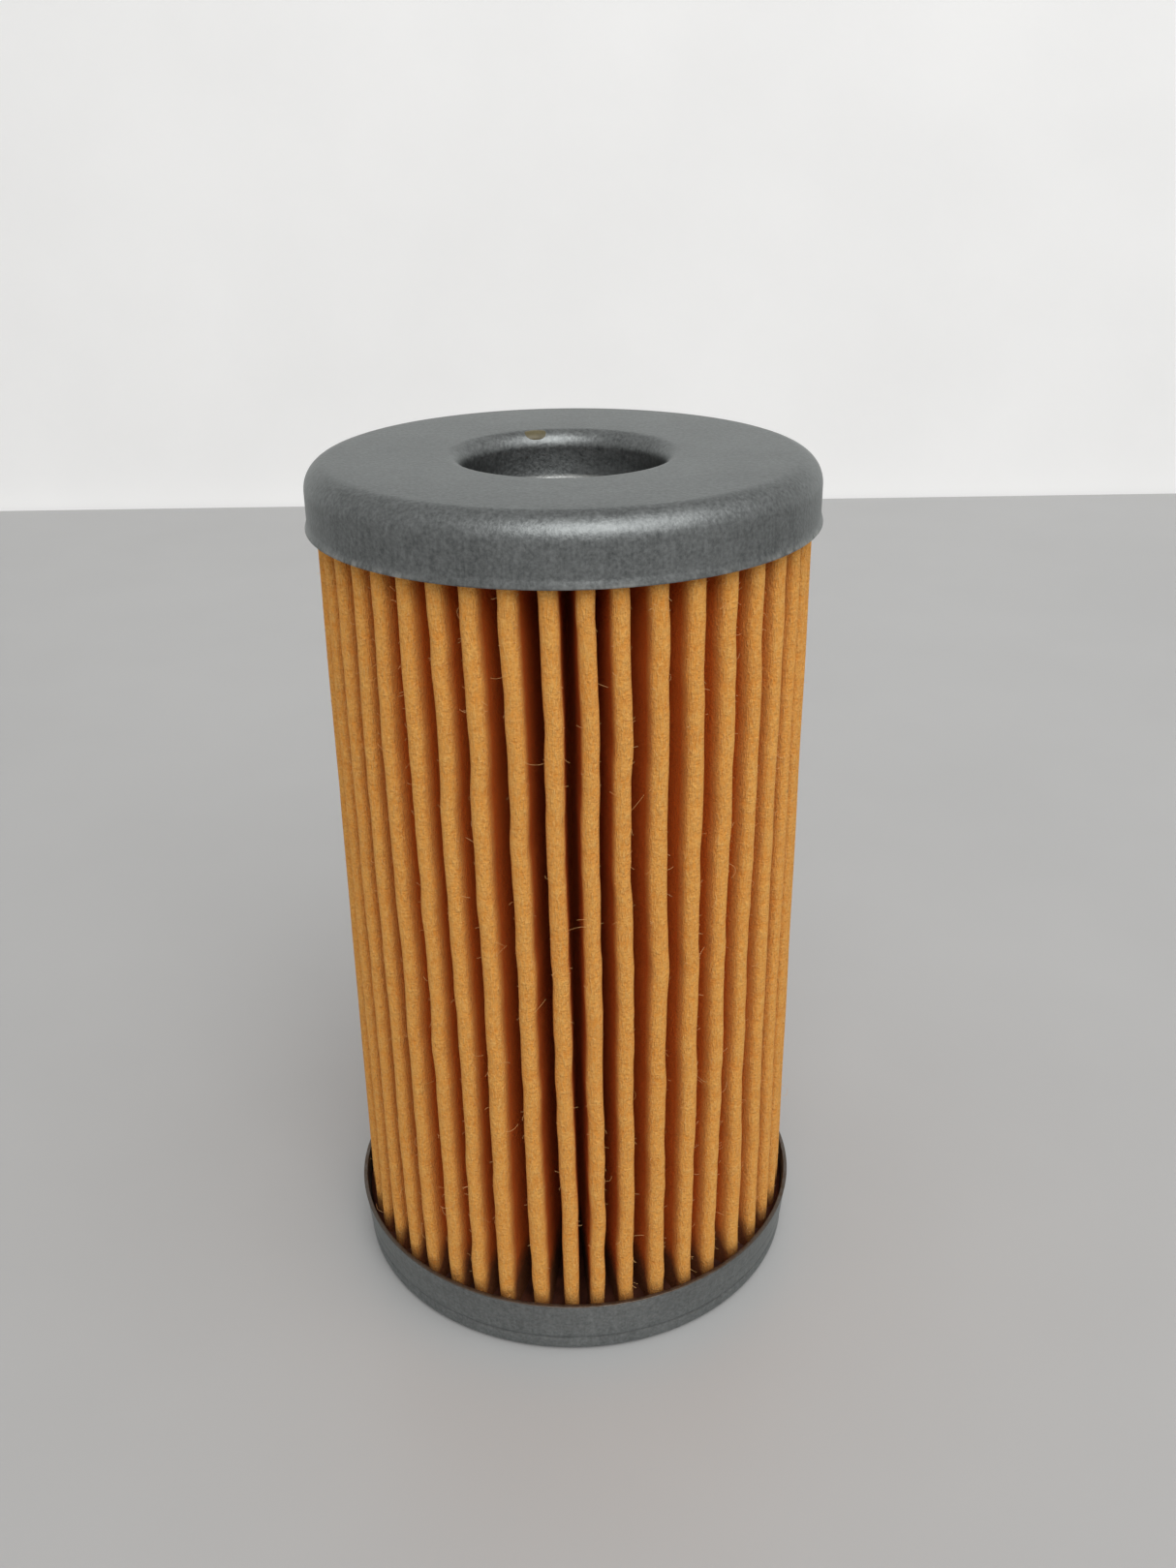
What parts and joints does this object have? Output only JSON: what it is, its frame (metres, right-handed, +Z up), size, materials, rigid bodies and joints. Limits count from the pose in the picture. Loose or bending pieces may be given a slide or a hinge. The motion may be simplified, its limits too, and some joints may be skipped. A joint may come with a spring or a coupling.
{
  "type": "fuel filter element",
  "caption": "Cartridge fuel filter element: a pleated paper ring on a perforated steel core, potted into steel end caps, with an outlet bore on top and a closed, spring-seated base.",
  "frame": {"origin": "centre of the underside of the bottom end cap, where the element stands", "axes": "+Z up along the element's axis, from the closed bottom cap to the top cap with the outlet bore; +Y points at the paper's side seam, so -Y is the side shown first"},
  "size_m": [0.044, 0.044, 0.079],
  "materials": {
    "cap_steel": "satin",
    "tube_steel": "satin",
    "filter_paper": "matte",
    "seam_adhesive": "satin",
    "potting_adhesive": "satin"
  },
  "bodies": {
    "root": {"top_end_cap": "cap_steel", "bottom_end_cap": "cap_steel", "filter_media": "filter_paper", "side_seam_adhesive": "seam_adhesive", "centre_tube": "tube_steel", "top_potting": "potting_adhesive", "bottom_potting": "potting_adhesive"}
  },
  "joints": []
}
